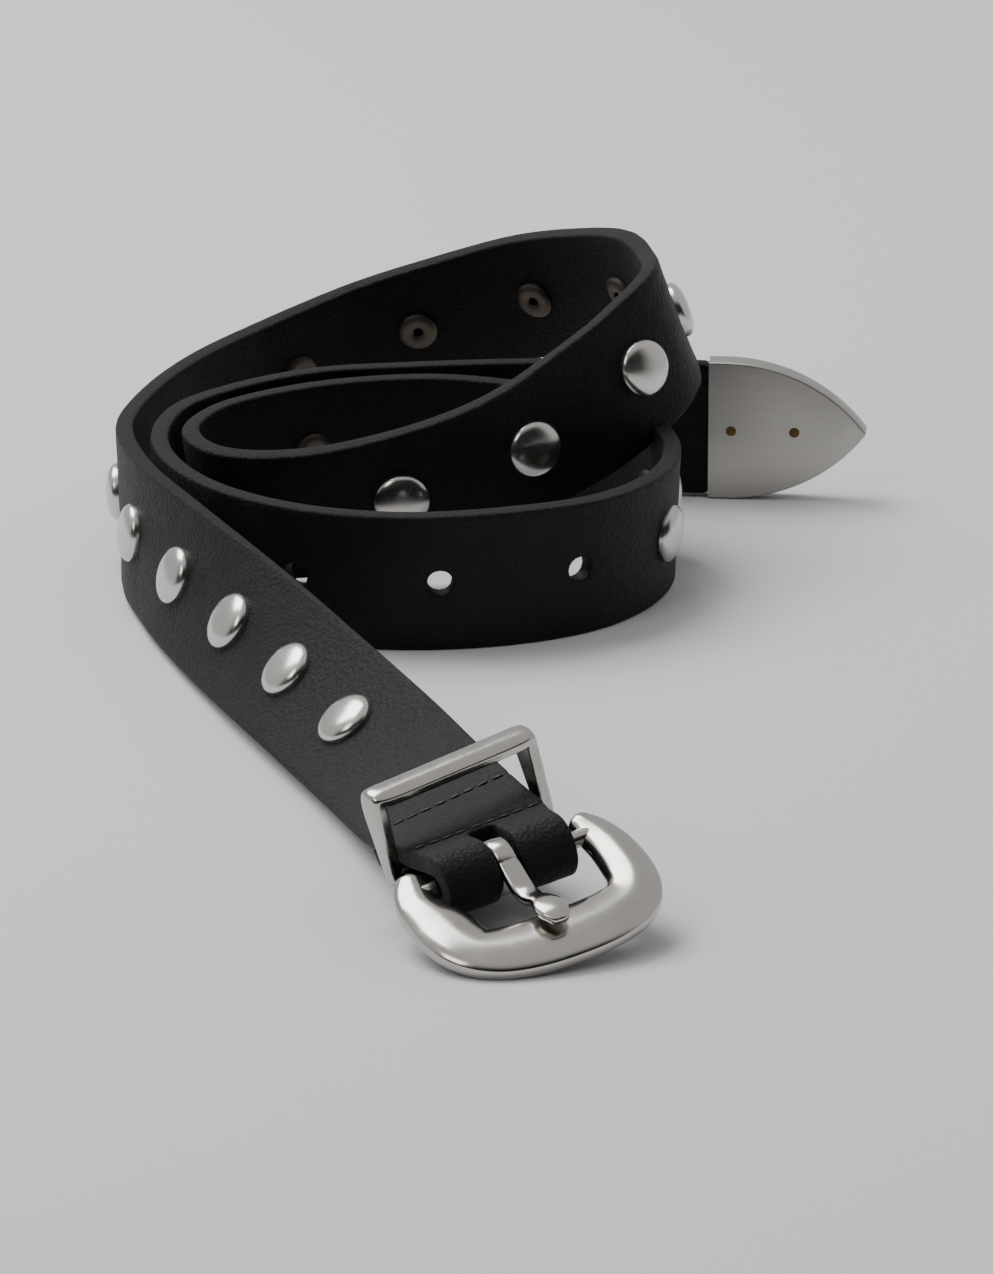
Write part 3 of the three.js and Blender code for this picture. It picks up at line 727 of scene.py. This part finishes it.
rim_layer = strip.verts.layers.float.new("rim")
side_layer = strip.verts.layers.float.new("grain_side")
for vert in strip.verts:
    s, side, face = vert.co
    inset = STRAP_WIDTH / 2 - abs(side)
    on_wall = 1 - smooth_step(STRAP_THICKNESS / 2 - abs(face), 0, 0.3 * MM)
    vert[rim_layer] = (1 - smooth_step(inset, 0.05 * MM, 0.4 * MM)) * mix(1, 0.55, on_wall)
    vert[side_layer] = smooth_step(face, -0.8 * MM, 0.4 * MM)
    wobble = noise.noise(vert.co * WOBBLES_PER_METRE) * WOBBLE * (1 if inset > 1 * MM else 0.6)
    vert.co = leather_point(s, side * fold_trim(s), face + relief(s, face) + wobble)
    vert.co.z = max(vert.co.z, 0)
strap = finished("leather_strap", strip, Matrix.Identity(4), leather, "strap", ["strap"], 50)
print("strap faces:", len(strap.data.polygons))

# %% [markdown]
# ## Studs
#
# Each stud is a rivet: a domed cap in front, a post through the leather and a clinched ring behind.
# A turned profile gives all three at once. Where the strap bends, the flat cap stands on the highest
# part under it, so its skirt goes down far enough to meet the leather all round. The faces behind the
# strap's middle take the dull finish of the backs.

# %% Studs
DOME_STEPS = 9
STUD_SIDES = 40
SKIRT = 0.35 * MM
SEAT_SHARE = 0.6
SEAT_GAP = 0.1 * MM


def bend_rise(distance, radius, facing):
    """How far the bent strap comes out of its own plane within a radius."""
    place, along, out, across = strap_frame(distance)
    rise = 0
    for i in range(8):
        angle = math.pi / 4 * i
        near = strap_frame(distance + radius * math.cos(angle))
        point = near[0] + near[3] * radius * math.sin(angle)
        rise = max(rise, facing * (point - place).dot(out))
    return rise


def stud_profile(front, back):
    """Radius and height from the back's bore over the cap to its crown."""
    cap = STUD_DIAMETER / 2
    ring = BACK_DIAMETER / 2
    half = STRAP_THICKNESS / 2
    low = -half - back
    foot = low - BACK_HEIGHT
    points = [(0, foot + BACK_BORE_DEPTH), (BACK_BORE / 2, foot + BACK_BORE_DEPTH),
              (BACK_BORE / 2, foot + 0.25 * MM), (BACK_BORE / 2 + 0.3 * MM, foot),
              (ring * 0.7, foot), (ring * 0.88, foot + BACK_HEIGHT * 0.18),
              (ring * 0.98, foot + BACK_HEIGHT * 0.5), (ring, -half + 0.1 * MM),
              (POST_DIAMETER / 2, -half + 0.2 * MM), (POST_DIAMETER / 2, half - SKIRT)]
    points += [(cap - 0.25 * MM, half - SKIRT), (cap, half - SKIRT + 0.2 * MM)]
    crown = half + front + STUD_HEIGHT
    shoulder = half + front + STUD_RIM
    for i in range(DOME_STEPS + 1):
        angle = math.pi / 2 * (1 - i / DOME_STEPS)
        radius = cap * math.sin(angle) ** 0.85 if i < DOME_STEPS else 0
        points.append((radius, shoulder + (crown - shoulder) * math.cos(angle)))
    return points


for index in range(STUD_COUNT):
    distance = FIRST_STUD + index * STUD_PITCH
    front = SEAT_SHARE * bend_rise(distance, STUD_DIAMETER / 2, 1) + SEAT_GAP
    back = SEAT_SHARE * bend_rise(distance, BACK_DIAMETER / 2, -1) + SEAT_GAP
    bm = bmesh.new()
    spun(bm, stud_profile(front, back), STUD_SIDES)
    for face in bm.faces:
        face.material_index = int(face.calc_center_median().z < 0)
    name = f"stud_{index + 1:02d}"
    stud = finished(f"domed_{name}", bm, on_strap(distance), stud_nickel, "strap", [name], 40)
    stud.data.materials.append(back_metal)
print("studs:", STUD_COUNT)

# %% [markdown]
# ## The buckle's frame
#
# The frame is one casting with a broad, gently domed face, a thin inner lip and an upright outer
# wall. One section carried round half an outline would do for a plain ring, but here the rim is
# narrow at the heels and broad in front, so the section grows as it goes, and the left arm is a
# little broader than the right. A subdivision surface takes away the facets. The bar is a plain rod
# between the heels.

# %% Buckle frame
FRAME_COLUMNS = ("across", "ahead", "rim")
FRAME_ROWS = [dict(zip(FRAME_COLUMNS, row)) for row in (
    (0.735, -0.2, 0.22), (0.778, -0.06, 0.31), (0.82, 0.12, 0.36), (0.82, 0.3, 0.39),
    (0.79, 0.48, 0.41), (0.68, 0.63, 0.47), (0.5, 0.705, 0.53), (0.26, 0.74, 0.56),
    (0, 0.745, 0.57),
)]
LEFT_ARM_MORE = 3.2 * MM
RIM_STEPS = 40
BAR_SHARE = 1.56
RIM_SECTION = [
    (1.0, -0.62), (0.93, -0.9), (0.7, -1), (-0.6, -1), (-0.9, -0.88), (-1, -0.5), (-0.99, 0),
    (-0.84, 0.48), (-0.52, 0.84), (-0.1, 1.0), (0.34, 0.95), (0.68, 0.72), (0.87, 0.45),
    (0.95, 0.28), (0.985, 0.16), (1.0, -0.15),
]


def buckle_place():
    """Matrix of the buckle: x along the bar, y to its front and z out of its face."""
    place, along, out, across = strap_frame(0)
    centre = place - out * FOLD_RADIUS + across * FRAME_SHIFT
    return placed(-across, -along, out, centre) @ Matrix.Rotation(-FRAME_DROP, 4, "X")


def rim_rings(steps):
    """Rings of the frame from one heel over the front to the other."""
    half = []
    behind = (FRAME_HEEL - 2 * MM) / -FRAME_ROWS[0]["ahead"]
    for row in FRAME_ROWS:
        ahead = row["ahead"] * (behind if row["ahead"] < 0 else FRAME_REACH)
        half.append((row["across"] * FRAME_HALF_WIDTH, ahead, row["rim"] * FRAME_HALF_WIDTH))
    left = []
    for x, y, rim in half:
        more = LEFT_ARM_MORE * swell(y, 0.38 * FRAME_REACH, 0.2 * FRAME_REACH)
        left.append((x - more / 2, y, rim + more))
    rows = left + [(-x, y, rim) for x, y, rim in reversed(half[:-1])]
    line = SmoothLine([(x, y, 0) for x, y, rim in rows], 200)
    rims = [rim for x, y, rim in rows]
    rings = []
    for i in range(steps + 1):
        t = i / steps
        place, along = line.at(t), line.heading(t)
        side = along.cross(UP).normalized()
        width = even_blend(rims, t) / 2
        height = FRAME_THICKNESS / 2 * min(max(width / (5 * MM), 0.85), 1)
        rings.append([place + side * (x * width) + UP * (z * height) for x, z in RIM_SECTION])
    return rings


def rounded_ends(rings, reach, shrink=0.62):
    """The same rings with a smaller one past each end, so that the ends come out round."""
    made = list(rings)
    for end, beside, at in ((rings[0], rings[1], 0), (rings[-1], rings[-2], len(rings) + 1)):
        centre = sum(end, Vector()) / len(end)
        inner = sum(beside, Vector()) / len(beside)
        past = (centre - inner).normalized() * reach
        made.insert(at, [centre + (p - centre) * shrink + past for p in end])
    return made


bm = bmesh.new()
sweep(bm, rounded_ends(rim_rings(RIM_STEPS), 0.9 * MM))
finished("buckle_rim", bm, buckle_place(), buckle_nickel, "buckle", ["buckle_frame"],
         levels=2)
bm = bmesh.new()
bmesh.ops.create_cone(bm, cap_ends=True, segments=32, radius1=BAR_RADIUS, radius2=BAR_RADIUS,
                      depth=FRAME_HALF_WIDTH * BAR_SHARE, matrix=Matrix.Rotation(math.pi / 2, 4, "Y"))
finished("buckle_bar", bm, buckle_place(), buckle_nickel, "buckle")
print("buckle made")

# %% [markdown]
# ## The prong
#
# The prong is a bent strip of metal. It starts as a flat loop on the bar, comes down through the
# slot towards the inside of the frame, and ends in a broader blunt head that rests on the front. The
# table gives its middle line and width as shares of the frame's reach, the frame's thickness and the
# prong's width.

# %% Prong
PRONG_COLUMNS = ("ahead", "above", "width")
PRONG_ROWS = [dict(zip(PRONG_COLUMNS, row)) for row in (
    (0, 0.84, 1.04), (0.08, 0.75, 1.04), (0.19, 0.46, 1.04), (0.31, 0.27, 1.04), (0.43, 0.38, 0.98),
    (0.52, 0.78, 0.98), (0.6, 0.98, 1.36), (0.7, 1.04, 1.3), (0.77, 0.98, 0.8),
)]
LOOP_THICKER = 1.25
LOOP_HALF_WIDTH = 0.54
PRONG_SECTION = [
    (-1, 0.3), (-0.92, 0.72), (-0.62, 1), (0.62, 1), (0.92, 0.72), (1, 0.3), (1, -0.5), (0.75, -1),
    (-0.75, -1), (-1, -0.5),
]


def prong_rings(steps):
    """Rings of the prong's shank and head."""
    places = [(0, row["ahead"] * FRAME_REACH, row["above"] * FRAME_THICKNESS) for row in PRONG_ROWS]
    line = SmoothLine(places, 200)
    widths = [row["width"] for row in PRONG_ROWS]
    rings = []
    for i in range(steps + 1):
        t = i / steps
        place, along = line.at(t), line.heading(t)
        side = Vector((1, 0, 0))
        above = side.cross(along)
        width = even_blend(widths, t) * PRONG_WIDTH / 2
        height = PRONG_THICKNESS / 2 * mix(1, 0.8, t)
        rings.append([place + side * (x * width) + above * (z * height) for x, z in PRONG_SECTION])
    return rings


def loop_rings(steps):
    """Rings of the prong's loop round the bar: a flat band with soft corners."""
    inner = BAR_RADIUS + LOOP_GAP
    outer = inner + PRONG_THICKNESS * LOOP_THICKER
    half = PRONG_WIDTH * LOOP_HALF_WIDTH
    upper = [(-half, inner + 0.2 * MM), (-half, outer - 0.5 * MM), (-half + 0.5 * MM, outer)]
    lower = [(half - 0.2 * MM, inner), (-half + 0.2 * MM, inner)]
    section = upper + [(-x, r) for x, r in reversed(upper)] + lower
    rings = []
    for i in range(steps):
        angle = 2 * math.pi * i / steps
        outwards = Vector((0, math.cos(angle), math.sin(angle)))
        rings.append([outwards * r + Vector((x, 0, 0)) for x, r in section])
    return rings


bm = bmesh.new()
sweep(bm, rounded_ends(prong_rings(28), 0.5 * MM, 0.7))
sweep(bm, loop_rings(40), closed=True)
prong_place = buckle_place() @ Matrix.Translation((FRAME_SHIFT, 0, 0))
finished("bent_prong", bm, prong_place, buckle_nickel, "prong", ["prong"], levels=1)
print("prong made")

# %% [markdown]
# ## The keeper
#
# The keeper is a rectangular loop that the strap's free end goes through. Its top bar is broad and
# convex, with a sloping front. Its legs are as broad at the top and taper to a thin bar under the
# strap. The loop is one section carried round a rectangle, with rings close together at each corner
# to keep the corner crisp. Half the loop is laid out, and the other half is its mirror image.

# %% Keeper
KEEPER_CORNER = 0.9 * MM
TOP_SECTION = [
    (-0.5, -0.46), (-0.5, 0.46), (-0.42, 0.5), (0.02, 0.5), (0.12, 0.48), (0.38, 0.26),
    (0.5, 0), (0.42, -0.26), (0.2, -0.46), (-0.4, -0.5),
]
LEG_SECTION = [
    (-0.5, -0.4), (-0.5, 0.4), (-0.4, 0.5), (0.0, 0.5), (0.4, 0.46), (0.5, 0.3),
    (0.5, 0), (0.5, -0.3), (0.4, -0.48), (-0.4, -0.5),
]


def keeper_place():
    """Matrix of the keeper: x across the strap, y out of it and z towards the buckle."""
    place, along, out, across = strap_frame(KEEPER_SEAT)
    seat = place - out * (STRAP_THICKNESS + fold_space(KEEPER_SEAT)) / 2 + across * KEEPER_SHIFT
    stand = placed(across, out, -along, seat)
    stand = stand @ Matrix.Rotation(KEEPER_YAW, 4, "Y") @ Matrix.Rotation(-KEEPER_LEAN, 4, "X")
    return stand @ Matrix.Rotation(-KEEPER_ROLL, 4, "Z")


def keeper_rings():
    """Rings round the loop: along the top, down a leg, under the strap and up the other leg."""
    half = (KEEPER_INNER_WIDTH + KEEPER_LEG) / 2
    roof = KEEPER_BAR / 2 + KEEPER_INNER_HEIGHT + KEEPER_TOP_THICKNESS / 2
    near = half - KEEPER_CORNER * 1.6
    low_depth = KEEPER_LEG_DEPTH * 1.1
    high_depth = KEEPER_TOP_WIDTH * 0.92
    # x, y, which way is outwards, thickness, depth, share of the top's slope, share of its section
    rows = [(x, roof, (0, 1), KEEPER_TOP_THICKNESS, KEEPER_TOP_WIDTH, 1, 1) for x in (0, near / 2, near)]
    rows.append((half, roof, (1, 1), (KEEPER_TOP_THICKNESS + KEEPER_LEG) / 2, high_depth, 0.8, 0.6))
    for share in (0, 0.25, 0.5, 0.75, 1):
        y = mix(roof - KEEPER_CORNER * 2, KEEPER_CORNER, share)
        depth = mix(high_depth, low_depth, share)
        rows.append((half, y, (1, 0), KEEPER_LEG, depth, mix(0.55, 0, share), 0))
    rows.append((half, 0, (1, -1), KEEPER_BAR, low_depth, 0, 0))
    rows += [(x, 0, (0, -1), KEEPER_BAR, low_depth, 0, 0) for x in (near, half / 2)]
    mirrored = [(-x, y, (-u, v), *rest) for x, y, (u, v), *rest in reversed(rows[1:])]
    bottom = (0, 0, (0, -1), KEEPER_BAR, low_depth, 0, 0)
    hinge = Vector((0, roof - KEEPER_TOP_THICKNESS / 2, 0))
    rings = []
    for x, y, (u, v), thick, depth, slope, top in rows + [bottom] + mirrored:
        ring = []
        for (r_top, z_top), (r_leg, z_leg) in zip(TOP_SECTION, LEG_SECTION):
            r, z = mix(r_leg, r_top, top), mix(z_leg, z_top, top)
            ring.append(Vector((x + u * r * thick, y + v * r * thick, z * depth)))
        if y > roof - 3 * KEEPER_CORNER:
            turn = Matrix.Rotation(KEEPER_TOP_SLOPE * slope, 3, "X")
            ring = [hinge + turn @ (point - hinge) for point in ring]
        rings.append(ring)
    return rings


bm = bmesh.new()
sweep(bm, keeper_rings(), closed=True)
finished("metal_keeper", bm, keeper_place(), buckle_nickel, "keeper", ["keeper"], levels=2)
print("keeper made")

# %% [markdown]
# ## The tip
#
# The tip is a flat metal sleeve that ends in a point, with the strap's end inside it and two pins
# through both. Its outline is laid out as one face, which is extruded to the sleeve's depth, and a
# bevel softens the rim. The face at the open end is then taken away and the walls are thickened
# inwards. Each pin shows as a low dark brown head on both sides. The head is raised, and its dark
# brown is partly a brown stain and partly painted shade for the dark middle of a dent.

# %% Tip
SLEEVE_WALL = 0.6 * MM
SLEEVE_ROUND = 0.45 * MM
OUTLINE_STEPS = 28
PIN_HEAD = TIP_PIN_DIAMETER * 0.6


def tip_outline():
    """Points round the tip, from the upper corner of its open end over the point."""
    places = [TIP_LENGTH * (i / OUTLINE_STEPS) for i in range(OUTLINE_STEPS + 1)]
    upper = [(x, tip_half_width(x)) for x in places]
    return upper + [(x, -y) for x, y in reversed(upper[:-1])]


bm = bmesh.new()
ring = [bmesh.ops.create_vert(bm, co=(x, y, -TIP_THICKNESS / 2))["vert"][0] for x, y in tip_outline()]
flat = bmesh.ops.contextual_create(bm, geom=ring)["faces"]
raised = bmesh.ops.extrude_face_region(bm, geom=flat)["geom"]
raised_verts = [g for g in raised if isinstance(g, bmesh.types.BMVert)]
bmesh.ops.translate(bm, verts=raised_verts, vec=(0, 0, TIP_THICKNESS))
bmesh.ops.recalc_face_normals(bm, faces=bm.faces[:])
rim_edges = [e for e in bm.edges if len(e.link_faces) == 2 and e.calc_face_angle() > math.radians(50)
             and not all(abs(v.co.x) < 1e-6 for v in e.verts)]
bmesh.ops.bevel(bm, geom=rim_edges, offset=SLEEVE_ROUND, segments=3, profile=0.5, affect="EDGES",
                material=-1)
opening = [f for f in bm.faces if all(abs(v.co.x) < 1e-6 for v in f.verts)]
bmesh.ops.delete(bm, geom=opening, context="FACES_ONLY")
bmesh.ops.solidify(bm, geom=bm.faces[:], thickness=SLEEVE_WALL)
finished("pointed_tip", bm, on_strap(TIP_START), tip_nickel, "strap", ["belt_tip"], 30)

end = TIP_THICKNESS / 2 + 0.05 * MM
pin_profile = [(0, end + 0.1 * MM), (PIN_HEAD * 0.6, end + 0.06 * MM), (PIN_HEAD, end - 0.1 * MM)]
pin_profile = [(r, -z) for r, z in pin_profile] + pin_profile[::-1]
# Pin heads are raised. Their dark brown colour is a brown stain plus painted dent shade.
for number, pin in enumerate(TIP_PINS, 1):
    bm = bmesh.new()
    spun(bm, pin_profile, 24)
    place = on_strap(TIP_START) @ Matrix.Translation((pin, 0, 0))
    finished(f"stain_and_dent_shade_pin_{number}", bm, place, stain_and_dent_shade_metal, "strap", [f"tip_pin_{number}"], 40)
print("tip made")

# %% [markdown]
# ## Stitches
#
# Two rows of black thread hold the fold, one behind the prong and one under the keeper. A stitch is
# a short length of thread that sits in its groove, and a sphere stretched along the row is enough
# for it. Each is turned a little out of the row, as hand stitches are, on both sides of the fold.

# %% Stitches
STITCH_PITCH = 3.1 * MM
STITCH_LENGTH = 2.5 * MM
STITCH_SKEW = math.radians(6)
STITCH_SINK = 0.12 * MM
THREAD = 0.8 * MM
THREAD_BLACK = (0.004, 0.004, 0.004)
THREAD_GREY = (0.02, 0.02, 0.02)


def thread_material():
    material, nodes, links, shader = new_material("black_thread")
    twist = noise_texture(nodes, links, object_coordinates(nodes), 3000, 2)
    links.new(colour_mix(nodes, links, twist, THREAD_BLACK, THREAD_GREY), shader.inputs["Base Color"])
    links.new(ranged(nodes, links, twist, 0.3, 0.7, 0.4, 0.7), shader.inputs["Roughness"])
    bumped(nodes, links, shader, twist, 0.08 * MM)
    return material


thread = thread_material()
stitch_count = int((STRAP_WIDTH - 1.5 * MM) / STITCH_PITCH)
stitch_shape = Matrix.Rotation(math.pi / 2, 4, "Y") @ Matrix.Diagonal(
    (THREAD / 2 * 0.8, THREAD / 2, STITCH_LENGTH / 2, 1))
bm = bmesh.new()
for row, distance in enumerate(STITCH_ROWS):
    place, along, out, across = strap_frame(distance)
    for i in range(stitch_count):
        side = (i - (stitch_count - 1) / 2) * STITCH_PITCH + 0.2 * MM * math.sin(1.7 * i)
        skew = Matrix.Rotation(STITCH_SKEW * math.sin(2.3 * i + row), 4, "Z")
        for spot in (distance, -FOLD_ARC - distance):
            centre = leather_point(spot, side, STRAP_THICKNESS / 2 - STITCH_SINK)
            turn = placed(across, -along, out, centre) @ skew
            bmesh.ops.create_uvsphere(bm, u_segments=10, v_segments=7, radius=1, matrix=turn @ stitch_shape)
finished("fold_stitches", bm, Matrix.Identity(4), thread, "strap", sharp=60)
print("stitches:", stitch_count * 4)

# %% [markdown]
# ## Floor and light
#
# The belt lies on a plain pale table. One large soft light hangs above on the left and behind, a
# weaker one fills from the front left, and the room is a pale grey that the metal can reflect. The
# room is dark in front up to high overhead, which gives the metal its dark bands.

# %% Floor
FLOOR_HALF = 3.0
FLOOR_GREY = (0.72, 0.72, 0.735, 1)


def floor_material():
    material, nodes, links, shader = new_material("pale_table")
    shader.inputs["Base Color"].default_value = FLOOR_GREY
    shader.inputs["Roughness"].default_value = 0.85
    return material


bm = bmesh.new()
bmesh.ops.create_grid(bm, x_segments=1, y_segments=1, size=FLOOR_HALF)
floor_mesh = bpy.data.meshes.new("table")
bm.to_mesh(floor_mesh)
bm.free()
floor_mesh.materials.append(floor_material())
floor = bpy.data.objects.new("table", floor_mesh)
bpy.context.scene.collection.objects.link(floor)

# %% Lights
ROOM_PALE = (0.85, 0.85, 0.87)
ROOM_DARK = (0.03, 0.03, 0.03)
ROOM_STRENGTH = 0.7


def soft_light(name, place, aim, size, power):
    """A square soft light that faces a point."""
    data = bpy.data.lights.new(name, "AREA")
    data.shape = "SQUARE"
    data.size = size
    data.energy = power
    lamp = bpy.data.objects.new(name, data)
    lamp.location = place
    lamp.rotation_mode = "QUATERNION"
    lamp.rotation_quaternion = (Vector(aim) - Vector(place)).to_track_quat("-Z", "Y")
    bpy.context.scene.collection.objects.link(lamp)


soft_light("overhead", (-0.55, 0.45, 1.15), (0, 0, 0), 0.9, 18)
soft_light("front_fill", (-0.9, -0.9, 1.1), (0, 0, 0), 0.6, 4)

world = bpy.data.worlds.new("room")
world.use_nodes = True
nodes, links = world.node_tree.nodes, world.node_tree.links
background = nodes["Background"]
direction = nodes.new("ShaderNodeTexCoord").outputs["Generated"]
parts = nodes.new("ShaderNodeSeparateXYZ")
links.new(direction, parts.inputs["Vector"])
low = ranged(nodes, links, parts.outputs["Z"], 0.68, 0.9, 1, 0)
front = ranged(nodes, links, parts.outputs["Y"], -0.45, -0.15, 1, 0)
shade = combined(nodes, links, "MULTIPLY", low, front)
links.new(colour_mix(nodes, links, shade, ROOM_PALE, ROOM_DARK), background.inputs["Color"])
background.inputs["Strength"].default_value = ROOM_STRENGTH
bpy.context.scene.world = world
print("lights made")
